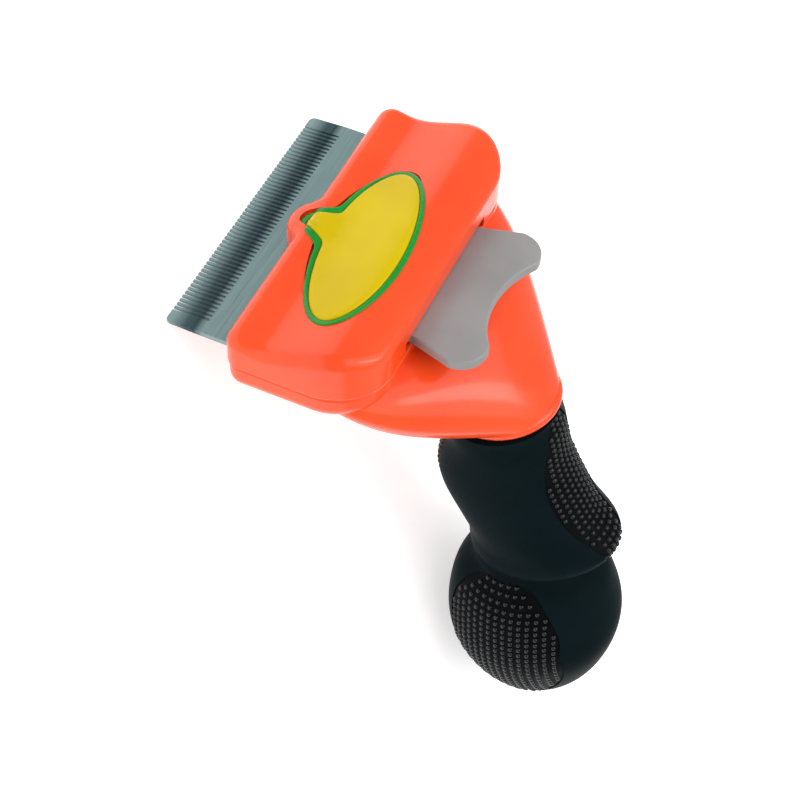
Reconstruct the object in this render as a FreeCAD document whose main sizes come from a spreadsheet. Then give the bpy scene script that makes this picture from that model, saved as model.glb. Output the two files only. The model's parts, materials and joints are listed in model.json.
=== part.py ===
import FreeCAD, Part
import math
import os

import Sketcher
from FreeCAD import Placement, Rotation, Vector

# A push-button deshedding tool: a steel comb clamped in a two-shell head, an ejector that
# wipes the hair off the teeth, and a rubber grip moulded round a stiff core.
#
# The head is drawn in its own frame: X across the comb, Y forward (the way the teeth point)
# and Z out of the badge face, with the comb's upper face at Z = 0.  The handle is drawn with
# its axis along -Z from the collar and Y towards the fingers.  The last section turns the whole
# tool to the way it rests on a table: on the tips of its teeth and the front of its bulb.

os.makedirs("parts", exist_ok=True)
doc = FreeCAD.newDocument("deshedding_tool")
sheet = doc.addObject("Spreadsheet::Sheet", "Sizes")

CELLS = [
    # comb
    ("blade_width", 67.0, "comb, over the guards at both ends"),
    ("blade_thick", 1.2, "comb plate"),
    ("blade_front", 20.4, "tooth tips, ahead of the head's datum"),
    ("blade_rear", 8.5, "rear edge of the plate, behind the datum"),
    ("blade_skirt", 2.0, "plate hidden each side under the shell's side walls"),
    ("tooth_length", 8.3, "root to tip"),
    ("tooth_pitch", 1.15, "one tooth to the next"),
    ("tooth_gap", 0.55, "slot between two teeth"),
    ("tooth_drop", 0.5, "how far the tips lean below the plate"),
    ("tooth_tip", 0.5, "thickness left at the tips"),
    ("guard_width", 3.2, "plain land at each end of the row of teeth"),
    ("guard_round", 1.2, "rounding of the comb's front corners"),
    # head shells
    ("side_wall", 4.8, "shell beyond the comb on each side"),
    ("shell_front", 5.1, "front face of the shells, ahead of the datum"),
    ("shell_back", 26.6, "back face of the shells, behind the datum"),
    ("front_corner", 3.5, "plan radius of the front corners"),
    ("back_corner", 12.5, "plan radius of the back corners"),
    ("lip_height", 6.6, "raised front lip above the comb"),
    ("saddle_height", 6.0, "hollow behind the lip"),
    ("crown_height", 9.8, "highest part of the back of the cover"),
    ("lip_set", 3.5, "crest of the lip behind the front face"),
    ("saddle_set", 8.5, "bottom of the saddle behind the front face"),
    ("crown_set", 4.5, "end of the crown ahead of the back face"),
    ("back_fall", 2.6, "how far the cover drops at its back face"),
    ("top_pull", 1.0, "how far the control points of the top stand off it"),
    ("edge_round", 2.6, "rounding of the cover's top edges"),
    ("nose_radius", 5.6, "tab in the middle of the front edge"),
    ("nose_centre", 3.5, "centre of the tab, ahead of the datum"),
    ("nose_fair", 2.0, "hollow where the tab meets the front edge"),
    ("tray_depth", 6.2, "lower shell below the parting line"),
    ("tray_inset", 0.3, "lower shell inside the cover's outline at the front and sides"),
    ("tray_round", 3.4, "rounding of the lower shell's bottom edges"),
    ("parting_round", 0.7, "rounding of both shells where they meet"),
    ("wall", 2.2, "moulded wall"),
    ("skin", 1.5, "thinnest plastic over a cavity"),
    # ejector
    ("travel", 11.0, "how far the button pushes the wiper"),
    ("slide_thick", 1.9, "wiper plate"),
    ("slide_gap", 0.45, "air over and under the wiper"),
    ("post_radius", 3.0, "posts that carry the screws through the wiper's slots"),
    ("post_offset", 19.0, "posts, each side of the middle"),
    ("post_back", 4.0, "posts, behind the datum"),
    ("button_width", 34.0, "button where it leaves the shell"),
    ("button_flare", 39.3, "button across its two lobes"),
    ("button_reach", 15.0, "lobes beyond the back of the shell"),
    ("button_waist", 11.1, "thumb hollow beyond the back of the shell"),
    ("button_widest", 8.9, "widest part beyond the back of the shell"),
    ("lobe_offset", 12.6, "inner ends of the lobes, each side of the middle"),
    ("lobe_bow", 2.3, "bulge of the lobes"),
    ("lobe_fair", 2.4, "rounding between lobe and hollow"),
    ("button_edge", 0.55, "rounding of the button's upper edge"),
    ("button_thick", 2.2, "button plate"),
    ("button_lift", 1.7, "button's upper face above the comb's"),
    ("upstand_depth", 3.4, "block under the button, along the travel"),
    ("tail_inset", 2.5, "wiper tail narrower than the button on each side"),
    ("spring_radius", 1.6, "return spring, to the middle of its wire"),
    ("spring_wire", 0.45, "spring wire"),
    ("spring_length", 18.0, "return spring as fitted"),
    ("spring_turns", 5.0, "working turns"),
    ("spring_offset", 8.0, "springs, each side of the middle"),
    ("spring_depth", 3.3, "spring axis below the comb's upper face"),
    ("guide_radius", 0.9, "pin inside each spring"),
    ("peg_offset", 8.6, "locating pegs, each side of the middle"),
    ("seat_ahead", 4.4, "springs' rear ends, ahead of the back wall"),
    ("rib", 1.8, "ribs and spring stops"),
    ("rail_offset", 26.2, "rails under the wiper, each side of the middle"),
    ("shoulder_ahead", 0.5, "wiper's shoulder ahead of the shell's back corners"),
    # fasteners
    ("screw_radius", 1.4, "shank of the housing screws"),
    ("screw_head", 2.6, "head radius"),
    ("screw_head_height", 1.8, "head height"),
    ("screw_length", 6.2, "under the head"),
    ("screw_sunk", 0.4, "heads below the shell's underside"),
    ("cleat_radius", 1.0, "shank of the button screws"),
    ("cleat_head", 1.7, "head radius of the button screws"),
    ("cleat_head_height", 1.0, "head height of the button screws"),
    ("cleat_inset", 2.2, "button screws, in from the ends of the block"),
    # badge
    ("badge_left", 27.4, "pointed leaf of the badge, to the left of the middle"),
    ("badge_right", 23.0, "pointed leaf of the badge, to the right of the middle"),
    ("badge_centre", 9.0, "middle of the badge, behind the datum"),
    ("badge_round", 5.0, "rounding of the leaf's two points"),
    ("badge_front", 9.5, "badge ahead of its middle"),
    ("badge_rear", 9.0, "badge behind its middle"),
    ("badge_bow", 1.7, "bow of the badge's front edges"),
    ("nub_set", 0.6, "front point, left of the middle"),
    ("nub_reach", 15.2, "front point ahead of the badge's middle"),
    ("nub_root", 4.6, "half width of the front point at its root"),
    ("nub_tip", 2.3, "half width of the front point near its tip"),
    ("nub_round", 1.6, "rounded length of the front point"),
    ("nub_fair", 2.4, "rounding between the front point and the leaf"),
    ("badge_rim", 1.15, "width of the badge's rim"),
    ("badge_depth", 1.0, "how deep the badge sits in the cover"),
    ("badge_floor", 0.4, "rim's plate under the badge's face"),
    ("rim_lift", 0.35, "badge rim above the cover"),
    ("dome_lift", 0.8, "badge face above the cover"),
    # handle
    ("lean", 10.5, "handle axis off the head's normal, degrees"),
    ("collar_y", 41.4, "middle of the collar, behind the datum"),
    ("collar_z", 26.9, "middle of the collar, below the comb"),
    ("collar_radius", 13.0, "collar rim"),
    ("rim_round", 1.7, "half thickness of the collar's rounded rim"),
    ("throat_y", 15.4, "middle of the throat's top, behind the datum"),
    ("throat_z", 3.4, "middle of the throat's top, below the comb"),
    ("throat_half", 36.0, "half width of the throat's top"),
    ("throat_depth", 12.4, "half depth of the throat's top"),
    ("throat_bow", 1.4, "how far the throat bows up on its way to the collar"),
    ("throat_tilt", 18.0, "extra tilt of the throat half way down, degrees"),
    ("stem_radius", 7.2, "tube that goes down into the handle"),
    ("stem_bore", 4.4, "hole through the stem"),
    ("stem_length", 27.0, "stem below the collar"),
    ("pin_radius", 1.5, "cross pin"),
    ("pin_drop", 19.0, "cross pin below the collar"),
    ("pin_inset", 0.4, "ends of the cross pin below the core's surface"),
    ("neck_grip", 12.6, "grip just under the collar"),
    ("hook_reach", 16.4, "finger hook ahead of the axis"),
    ("hook_drop", 20.5, "finger hook below the collar"),
    ("waist_reach", 11.4, "hollow under the hook, ahead of the axis"),
    ("thumb_reach", 24.2, "thumb rest behind the axis"),
    ("thumb_drop", 40.5, "thumb rest below the collar"),
    ("thumb_edge", 3.6, "rounded edge under the thumb rest"),
    ("thumb_fall", 2.2, "how far that edge draws in"),
    ("thumb_power", 2.5, "how late the back swells out to the thumb rest"),
    ("bulb_radius", 20.6, "bulb"),
    ("bulb_drop", 70.8, "middle of the bulb below the collar"),
    ("bulb_set", 1.5, "bulb's middle behind the axis"),
    ("bulb_upper", 26.6, "bulb's half length towards the collar"),
    ("bulb_lower", 25.6, "bulb's half length towards the butt"),
    ("bulb_taper", 1.6, "how soon the bulb draws in towards the butt, 2 for a plain ellipse"),
    ("grip_side", 14.0, "half width of the grip between collar and bulb"),
    ("neck_swell", 0.9, "grip wider than it is deep under the collar"),
    ("grip_wall", 3.0, "rubber over the core"),
    ("core_radius", 9.4, "core between collar and bulb"),
    ("core_waist", 7.6, "core in the neck above the bulb"),
    ("core_swell", 14.6, "core inside the bulb"),
    ("core_tail", 9.0, "core's lower end"),
    ("pad_sink", 0.25, "pads below the surface of the grip"),
    ("pad_thick", 1.4, "nubbed pads"),
    ("pad_start", 4.3, "upper ends of the thumb and finger pads, below the collar"),
    ("pad_end", 3.5, "half width of a pad's ends"),
    ("pad_bow", 1.2, "bow of a pad's long sides"),
    ("pad_cap", 1.6, "bow of a pad's ends"),
    ("thumb_pad_half", 8.2, "half width of the thumb pad"),
    ("finger_pad_half", 7.6, "half width of the finger pad"),
    ("finger_pad_drop", 26.5, "lower end of the finger pad, below the collar"),
    ("side_pad_half", 14.0, "side pads, to front and back of the axis"),
    ("side_pad_up", 19.2, "side pads above their widest part"),
    ("side_pad_down", 21.8, "side pads below their widest part"),
    ("side_pad_drop", 67.8, "widest part of the side pads, below the collar"),
    # fits
    ("clearance", 0.3, "between pieces that move past each other"),
    ("seat_gap", 0.05, "between pieces that are clamped or pressed together"),
    ("overrun", 1.0, "how far cutters run past a surface"),
    ("block_height", 30.0, "stock height that shells are trimmed from"),
    ("far", 120.0, "longer than anything in the head"),
]


class Size:
    """A number together with the spreadsheet formula that gives it."""

    def __init__(self, value, text):
        self.value = value
        self.text = text

    @staticmethod
    def of(other):
        if isinstance(other, Size):
            return other
        return Size(float(other), repr(float(other)))

    def join(self, other, sign, value):
        return Size(value, "(%s %s %s)" % (self.text, sign, other.text))

    def __add__(self, other):
        other = Size.of(other)
        return self.join(other, "+", self.value + other.value)

    def __sub__(self, other):
        other = Size.of(other)
        return self.join(other, "-", self.value - other.value)

    def __mul__(self, other):
        other = Size.of(other)
        return self.join(other, "*", self.value * other.value)

    def __truediv__(self, other):
        other = Size.of(other)
        return self.join(other, "/", self.value / other.value)

    def __radd__(self, other):
        return Size.of(other) + self

    def __rsub__(self, other):
        return Size.of(other) - self

    def __rmul__(self, other):
        return Size.of(other) * self

    def __neg__(self):
        return Size.of(0.0) - self

    def root(self):
        return Size(math.sqrt(self.value), "sqrt(%s)" % self.text)

    def power(self, exponent):
        return Size(self.value ** exponent.value, "pow(%s; %s)" % (self.text, exponent.text))


class Sizes:
    """The spreadsheet's cells by name, such as Z.blade_width."""


Z = Sizes()
for row, (alias, number, meaning) in enumerate(CELLS, start=1):
    sheet.set("A%d" % row, alias)
    sheet.set("B%d" % row, str(number))
    sheet.set("C%d" % row, meaning)
    sheet.setAlias("B%d" % row, alias)
    setattr(Z, alias, Size(number, "Sizes." + alias))
doc.recompute()


# ---------------------------------------------------------------- drawing helpers

def bind(item, prop, size, unit="1 mm"):
    """Drive a property from the spreadsheet."""
    item.setExpression(prop, "%s * %s" % (Size.of(size).text, unit))


def origin_plane(body, role):
    for feature in body.Origin.OriginFeatures:
        if feature.Role == role:
            return feature
    raise RuntimeError("no plane " + role)


def new_body(name):
    body = doc.addObject("PartDesign::Body", name)
    body.Label = name
    return body


def new_sketch(body, name, role="XY_Plane", offset=0.0):
    """A sketch on one of the body's own planes, moved along that plane's normal."""
    sketch = body.newObject("Sketcher::SketchObject", name)
    sketch.AttachmentSupport = [(origin_plane(body, role), "")]
    sketch.MapMode = "FlatFace"
    bind(sketch, "AttachmentOffset.Base.z", offset)
    return sketch


def pin_point(sketch, geometry, position, x, y):
    """Fix a point of a sketch by its two distances from the origin."""
    for kind, size in (("DistanceX", Size.of(x)), ("DistanceY", Size.of(y))):
        limit = sketch.addConstraint(
            Sketcher.Constraint(kind, -1, 1, geometry, position, size.value))
        bind(sketch, "Constraints[%d]" % limit, size)


def as_vector(point):
    return Vector(Size.of(point[0]).value, Size.of(point[1]).value, 0)


def draw_arc(sketch, start, end, radius, side):
    """The short arc from start to end; side +1 bulges to the right of the way it goes."""
    first, last = as_vector(start), as_vector(end)
    chord = last - first
    middle = (first + last) * 0.5
    normal = Vector(-chord.y, chord.x, 0).normalize()
    rise = math.sqrt(max(radius.value ** 2 - chord.Length ** 2 / 4, 0.0))
    centre = middle + normal * (rise * side)
    crest = centre - normal * (radius.value * side)
    arc = sketch.addGeometry(Part.Arc(first, crest, last), False)
    limit = sketch.addConstraint(Sketcher.Constraint("Radius", arc, radius.value))
    bind(sketch, "Constraints[%d]" % limit, radius)
    return arc


def join_sides(sketch, sides, starts):
    """Close a chain of sides and fix each of its corners."""
    ends = []
    for side, start in zip(sides, starts):
        corner = as_vector(start)
        forward = (sketch.getPoint(side, 1) - corner).Length < (sketch.getPoint(side, 2) - corner).Length
        ends.append((1, 2) if forward else (2, 1))
    for number, side in enumerate(sides):
        after = (number + 1) % len(sides)
        sketch.addConstraint(Sketcher.Constraint(
            "Coincident", side, ends[number][1], sides[after], ends[after][0]))
        pin_point(sketch, side, ends[number][0], *starts[number])


def bow(start, end, rise):
    """Radius of the arc that bulges by rise between two points."""
    across, along = Size.of(end[0]) - start[0], Size.of(end[1]) - start[1]
    return (across * across + along * along + rise * rise * 4) / (rise * 8)


def draw_outline(sketch, points, arcs=None):
    """A closed outline through the points; arcs maps a side's number to (radius, side)."""
    arcs = arcs or {}
    sides = []
    for number, start in enumerate(points):
        end = points[(number + 1) % len(points)]
        if number in arcs:
            sides.append(draw_arc(sketch, start, end, *arcs[number]))
        else:
            line = Part.LineSegment(as_vector(start), as_vector(end))
            sides.append(sketch.addGeometry(line, False))
    join_sides(sketch, sides, points)


def bowed(points, rises):
    """Arcs for draw_outline: each numbered side bulges by its rise, outwards where that is above 0."""
    arcs = {}
    for number, rise in rises.items():
        end = points[(number + 1) % len(points)]
        arcs[number] = (bow(points[number], end, rise), 1)
    return arcs


def draw_box(sketch, left, right, low, high):
    draw_outline(sketch, [(left, low), (right, low), (right, high), (left, high)])


def draw_circle(sketch, x, y, radius):
    radius = Size.of(radius)
    circle = sketch.addGeometry(Part.Circle(as_vector((x, y)), Vector(0, 0, 1), radius.value), False)
    pin_point(sketch, circle, 3, x, y)
    limit = sketch.addConstraint(Sketcher.Constraint("Radius", circle, radius.value))
    bind(sketch, "Constraints[%d]" % limit, radius)


def draw_plan(sketch, half, front, back, front_radius, back_radius, nose=False):
    """A plan outline with rounded corners, symmetric about the Y axis, with or without the tab."""
    points = [
        (-half + back_radius, back), (half - back_radius, back),
        (half, back + back_radius), (half, front - front_radius),
        (half - front_radius, front), (-half + front_radius, front),
        (-half, front - front_radius), (-half, back + back_radius)]
    arcs = {1: (back_radius, 1), 3: (front_radius, 1), 5: (front_radius, 1), 7: (back_radius, 1)}
    if nose:
        fair, radius = Z.nose_fair, Z.nose_radius
        rise = front + fair - Z.nose_centre
        foot = ((radius + fair) * (radius + fair) - rise * rise).root()
        share = radius / (radius + fair)
        flank = foot * share
        flank_y = Z.nose_centre + rise * share
        points[5:5] = [(foot, front), (flank, flank_y), (-flank, flank_y), (-foot, front)]
        arcs = {1: (back_radius, 1), 3: (front_radius, 1), 5: (fair, -1), 6: (radius, 1), 7: (fair, -1),
                9: (front_radius, 1), 11: (back_radius, 1)}
    draw_outline(sketch, points, arcs)


def grow(body, sketch, length, name, symmetric=False, down=False):
    """Pad a sketch."""
    pad = body.newObject("PartDesign::Pad", name)
    pad.Profile = sketch
    pad.SideType = "Symmetric" if symmetric else "One side"
    pad.Reversed = down
    bind(pad, "Length", length)
    doc.recompute()
    return pad


def carve(body, sketch, name, length=None, symmetric=False, up=False):
    """Pocket a sketch, right through unless it has a length; it must take something away."""
    before = body.Shape.Volume
    pocket = body.newObject("PartDesign::Pocket", name)
    pocket.Profile = sketch
    pocket.SideType = "Symmetric" if symmetric else "One side"
    pocket.Reversed = up
    if length is None:
        pocket.Type = "ThroughAll"
    else:
        bind(pocket, "Length", length)
    doc.recompute()
    if body.Shape.Volume > before - 1e-3:
        raise RuntimeError(name + " cuts nothing")
    return pocket


def soften(body, name, radius, wanted):
    """Fillet the edges that wanted() picks from the body's shape so far."""
    feature = body.Tip
    names = ["Edge%d" % number for number, edge in enumerate(feature.Shape.Edges, start=1) if wanted(edge)]
    fillet = body.newObject("PartDesign::Fillet", name)
    fillet.Base = (feature, names)
    bind(fillet, "Radius", radius)
    doc.recompute()
    return fillet


def upright(edge):
    """Whether an edge runs parallel to Z."""
    return edge.BoundBox.XLength < 0.01 and edge.BoundBox.YLength < 0.01


def primitive(kind, name, at=(0, 0, 0), turn=0.0, about=Vector(1, 0, 0), **sizes):
    """A Part primitive at a place in its piece's frame, turned by some degrees about one axis."""
    item = doc.addObject(kind, name)
    for prop, size in sizes.items():
        bind(item, prop, size)
    for letter, size in zip("xyz", at):
        bind(item, "Placement.Base." + letter, size)
    item.Placement.Rotation = Rotation(about, Size.of(turn).value)
    if Size.of(turn).value:
        bind(item, "Placement.Rotation.Angle", turn, "1 deg")
    return item


def fused(name, items):
    joint = doc.addObject("Part::MultiFuse", name)
    joint.Shapes = items
    joint.Refine = True
    return joint


def cut(name, base, tool):
    left = doc.addObject("Part::Cut", name)
    left.Base = base
    left.Tool = tool
    return left


def common(name, base, tool):
    shared = doc.addObject("Part::Common", name)
    shared.Base = base
    shared.Tool = tool
    return shared


# ---------------------------------------------------------------- shared sizes

HEAD = []
HANDLE = []

half_head = Z.blade_width / 2 + Z.side_wall
teeth_half = Z.blade_width / 2 - Z.guard_width
tooth_root = Z.blade_front - Z.tooth_length
parting = -Z.blade_thick
wiper_top = parting - Z.slide_gap
wiper_low = wiper_top - Z.slide_thick
tray_low = parting - Z.tray_depth
tray_floor = tray_low + Z.skin
button_low = Z.button_lift - Z.button_thick
upstand_back = -Z.shell_back + Z.wall + Z.clearance
slot_room = Z.post_radius + Z.clearance
spring_rear = -Z.shell_back + Z.wall + Z.clearance + Z.seat_ahead
spring_front = spring_rear + Z.spring_length
spring_reach = Z.spring_radius + Z.spring_wire / 2
tail_half = Z.button_width / 2 - Z.tail_inset
cleat_spots = [((tail_half - Z.cleat_inset) * side, upstand_back + Z.upstand_depth / 2) for side in (-1, 1)]
post_spots = [(Z.post_offset * side, -Z.post_back) for side in (-1, 1)]
peg_spots = [(Z.peg_offset * side, -Z.post_back) for side in (-1, 1)]
cover_room = Z.blade_thick + Z.saddle_height - Z.badge_depth - Z.skin
pin_half = Z.core_radius - Z.pin_inset


def whole(size):
    """The whole number at or below a size."""
    return Size(math.floor(size.value), "floor(%s)" % size.text)


def cover_profile(body, name, lift, over):
    """Side view of the cover's top, lifted by some height, and closed over or under it."""
    sketch = new_sketch(body, name, "YZ_Plane")
    front, back = Z.shell_front, -Z.shell_back
    ahead, behind = front + Z.edge_round * 2, back - Z.edge_round * 2
    lip, saddle, crown = Z.lip_height + lift, Z.saddle_height + lift, Z.crown_height + lift
    poles = [
        (ahead, lip - Z.top_pull * 2.5), (front, lip), (front - Z.lip_set, lip + Z.top_pull),
        (front - Z.saddle_set, saddle - Z.top_pull), ((front + back * 2) / 3, crown + Z.top_pull),
        (back + Z.crown_set, crown + Z.top_pull / 2), (back, crown - Z.back_fall),
        (behind, crown - Z.back_fall * 3)]
    curve = Part.BSplineCurve()
    curve.buildFromPoles([as_vector(pole) for pole in poles], False, 3)
    limit = Z.block_height if over else -Z.block_height
    corners = [poles[-1], (behind, limit), (ahead, limit)]
    sides = [sketch.addGeometry(curve, False)]
    for start, end in zip(corners, corners[1:] + [poles[0]]):
        sides.append(sketch.addGeometry(Part.LineSegment(as_vector(start), as_vector(end)), False))
    for number, side in enumerate(sides):
        after = sides[(number + 1) % len(sides)]
        sketch.addConstraint(Sketcher.Constraint("Coincident", side, 2, after, 1))
    handles = sketch.GeometryCount
    sketch.exposeInternalGeometry(sides[0])
    for number, pole in enumerate(poles):
        pin_point(sketch, handles + number, 3, *pole)
    for side, corner in zip(sides[2:], corners[1:]):
        pin_point(sketch, side, 1, *corner)
    return sketch


def draw_circles(sketch, spots, radius):
    for x, y in spots:
        draw_circle(sketch, x, y, radius)


# ---------------------------------------------------------------- the comb

def make_blade():
    body = new_body("blade")
    side_view = new_sketch(body, "comb_section", "YZ_Plane")
    draw_outline(side_view, [
        (-Z.blade_rear, parting), (tooth_root, parting),
        (Z.blade_front, -Z.tooth_drop - Z.tooth_tip), (Z.blade_front, -Z.tooth_drop),
        (tooth_root, 0), (-Z.blade_rear, 0)])
    grow(body, side_view, Z.blade_width, "comb_plate", symmetric=True)
    corners = new_sketch(body, "guard_corners", offset=Z.overrun)
    front, bite = Z.blade_front, Z.guard_round
    for side in (-1, 1):
        edge = Z.blade_width / 2 * side
        outer = edge + Z.overrun * side
        draw_outline(corners, [
            (edge - bite * side, front), (edge, front - bite), (outer, front - bite),
            (outer, front + Z.overrun), (edge - bite * side, front + Z.overrun)], {0: (bite, -side)})
    carve(body, corners, "guard_corner_cut")
    holes = new_sketch(body, "comb_holes", offset=Z.overrun)
    draw_circles(holes, post_spots, Z.screw_radius + Z.clearance)
    draw_circles(holes, peg_spots, Z.guide_radius + Z.clearance)
    carve(body, holes, "comb_hole_cut")
    slots = whole((teeth_half * 2 + Z.tooth_pitch - Z.tooth_gap) / Z.tooth_pitch)
    left = -(slots - 1) * Z.tooth_pitch / 2
    slot = new_sketch(body, "tooth_gap_plan", offset=Z.overrun)
    draw_box(slot, left - Z.tooth_gap / 2, left + Z.tooth_gap / 2, tooth_root, Z.blade_front + Z.overrun)
    gap = carve(body, slot, "tooth_gap_cut")
    row = body.newObject("PartDesign::LinearPattern", "tooth_row")
    row.Originals = [gap]
    row.Direction = (slot, ["H_Axis"])
    bind(row, "Length", (slots - 1) * Z.tooth_pitch)
    bind(row, "Occurrences", slots, "1")
    body.Tip = row
    doc.recompute()
    HEAD.append(body)


# ---------------------------------------------------------------- head shells

def draw_badge(sketch, inset):
    """A leaf with a blunt point towards the teeth, drawn smaller by inset all round."""
    left, right = -Z.badge_left + inset, Z.badge_right - inset
    middle = -Z.badge_centre
    root, tip = Z.nub_root - inset, Z.nub_tip - inset / 2
    root_y = middle + Z.badge_front - inset
    tip_y = middle + Z.nub_reach - inset
    points = [
        (left, middle), (right, middle), (-Z.nub_set + root, root_y), (-Z.nub_set + tip, tip_y - Z.nub_round),
        (-Z.nub_set - tip, tip_y - Z.nub_round), (-Z.nub_set - root, root_y)]
    rises = {0: Z.badge_rear - inset, 1: Z.badge_bow, 3: Z.nub_round, 5: Z.badge_bow}
    draw_outline(sketch, points, bowed(points, rises))


def badge_piece(name, inset, low, high):
    """A slice of the badge's outline between two lifts of the cover's top."""
    body = new_body(name)
    plan = new_sketch(body, name + "_plan")
    draw_badge(plan, inset)
    grow(body, plan, Z.block_height, name + "_block")
    leaf_end = (Z.badge_right / 2).value
    root_line = (Z.badge_front - Z.badge_centre - inset).value
    soften(body, name + "_ends", Z.badge_round - inset, lambda edge: (
        upright(edge) and abs(edge.Vertexes[0].X) > leaf_end))
    soften(body, name + "_roots", Z.nub_fair + inset, lambda edge: (
        upright(edge) and abs(edge.Vertexes[0].Y - root_line) < 0.01))
    carve(body, cover_profile(body, name + "_over", high, True), name + "_trim_over", Z.far, True)
    carve(body, cover_profile(body, name + "_under", low, False), name + "_trim_under", Z.far, True)
    return body


def make_badge():
    floor = Z.badge_floor - Z.badge_depth
    rim = badge_piece("badge_rim_block", Z.seat_gap, Z.seat_gap - Z.badge_depth, Z.rim_lift)
    hollow = badge_piece("badge_rim_hollow", Z.badge_rim, floor, Z.rim_lift + Z.overrun)
    HEAD.append(cut("badge_rim", rim, hollow))
    HEAD.append(badge_piece("badge_dome", Z.badge_rim + Z.seat_gap, floor + Z.seat_gap, Z.dome_lift))


def make_cover():
    body = new_body("cover_form")
    plan = new_sketch(body, "cover_plan", offset=parting)
    draw_plan(plan, half_head, Z.shell_front, -Z.shell_back, Z.front_corner, Z.back_corner, nose=True)
    grow(body, plan, Z.block_height, "cover_block")
    carve(body, cover_profile(body, "cover_top", Size.of(0.0), True), "cover_top_cut", Z.far, True)
    level = Z.skin.value
    soften(body, "cover_edges", Z.edge_round, lambda edge: min(end.Z for end in edge.Vertexes) > level)
    foot = (parting + Z.seat_gap).value
    soften(body, "cover_foot", Z.parting_round, lambda edge: edge.BoundBox.ZMax < foot)

    room = new_sketch(body, "cover_room", offset=parting)
    draw_plan(room, half_head - Z.wall, Z.shell_front - Z.wall - Z.skin, -Z.shell_back + Z.wall,
              Z.front_corner - Z.overrun, Z.back_corner - Z.wall)
    carve(body, room, "cover_room_cut", cover_room, up=True)
    seat = new_sketch(body, "comb_seat", offset=parting)
    draw_box(seat, -Z.blade_width / 2 - Z.seat_gap, Z.blade_width / 2 + Z.seat_gap,
             -Z.blade_rear - Z.clearance, Z.shell_front + Z.nose_radius * 2)
    carve(body, seat, "comb_seat_cut", Z.blade_thick + Z.seat_gap, up=True)
    doorway = new_sketch(body, "button_doorway", offset=parting)
    draw_box(doorway, -Z.button_flare / 2 - Z.clearance, Z.button_flare / 2 + Z.clearance,
             -Z.shell_back - Z.overrun, -Z.shell_back + Z.back_corner)
    carve(body, doorway, "button_doorway_cut", Z.blade_thick + Z.button_lift + Z.clearance, up=True)
    bosses = new_sketch(body, "boss_plan", offset=Z.seat_gap)
    draw_circles(bosses, post_spots, Z.post_radius)
    grow(body, bosses, Z.saddle_height - Z.badge_depth, "bosses")
    pegs = new_sketch(body, "peg_plan", offset=parting)
    draw_circles(pegs, peg_spots, Z.guide_radius)
    grow(body, pegs, Z.blade_thick + Z.saddle_height - Z.badge_depth, "pegs")
    pilots = new_sketch(body, "screw_pilots", offset=parting)
    draw_circles(pilots, post_spots, Z.screw_radius + Z.seat_gap)
    carve(body, pilots, "screw_pilot_cut", cover_room + Z.clearance, up=True)

    seat_block = badge_piece("badge_seat", Size.of(0.0), -Z.badge_depth, Z.crown_height)
    HEAD.append(cut("top_cover", body, seat_block))


def tray_form():
    body = new_body("tray_form")
    plan = new_sketch(body, "tray_plan", offset=parting)
    draw_plan(plan, half_head - Z.tray_inset, Z.shell_front - Z.tray_inset, -Z.shell_back,
              Z.front_corner, Z.back_corner)
    grow(body, plan, Z.tray_depth, "tray_block", down=True)
    low = (tray_low + Z.seat_gap).value
    soften(body, "tray_edges", Z.tray_round, lambda edge: edge.BoundBox.ZMax < low)
    high = (parting - Z.seat_gap).value
    soften(body, "tray_rim", Z.parting_round, lambda edge: edge.BoundBox.ZMin > high)
    return body


def tray_room():
    """Everything that is hollow under the parting line: the room, and the wiper's mouth."""
    body = new_body("tray_room")
    plan = new_sketch(body, "room_plan", offset=parting)
    draw_plan(plan, half_head - Z.tray_inset - Z.wall, Z.shell_front - Z.tray_inset - Z.wall,
              -Z.shell_back + Z.wall, Z.front_corner - Z.overrun, Z.back_corner - Z.wall)
    grow(body, plan, Z.tray_depth - Z.skin, "room_block", down=True)
    mouth = new_sketch(body, "mouth_plan", offset=parting)
    draw_box(mouth, -teeth_half - Z.clearance, teeth_half + Z.clearance, 0, Z.shell_front + Z.overrun)
    grow(body, mouth, Z.slide_gap * 2 + Z.slide_thick, "mouth_block", down=True)
    return body


def neck_loft(name, inset):
    """The throat of the lower housing, from the tray down to the collar."""
    collar_radius = Z.collar_radius - Z.clearance
    rings = []
    for share in (0.0, 0.25, 0.55, 0.8):
        left, swing = 1 - share, share * (1 - share) * 4
        back = Z.throat_y * left + Z.collar_y * share
        down = Z.throat_z * left + Z.collar_z * share - Z.throat_bow * swing
        width = collar_radius + (Z.throat_half - collar_radius) * (1 - share ** 2)
        depth = Z.throat_depth * left + collar_radius * share
        tilt = Z.lean * share + Z.throat_tilt * swing
        ring = primitive("Part::Ellipse", name + "_ring", (0, -back, -down), -tilt)
        bind(ring, "MajorRadius", width - inset)
        bind(ring, "MinorRadius", depth - inset)
        rings.append(ring)
    collar = primitive("Part::Circle", name + "_collar", down_handle(0), -Z.lean,
                       Radius=collar_radius - inset)
    loft = doc.addObject("Part::Loft", name)
    loft.Sections = rings + [collar]
    loft.Solid = True
    return loft


def down_handle(distance):
    """A point on the handle's axis, in the head's frame."""
    angle = math.radians(Z.lean.value)
    along = Size.of(distance)
    sine = Size(math.sin(angle), "sin(Sizes.lean * 1 deg)")
    cosine = Size(math.cos(angle), "cos(Sizes.lean * 1 deg)")
    return (0, -Z.collar_y - sine * along, -Z.collar_z - cosine * along)


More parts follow.
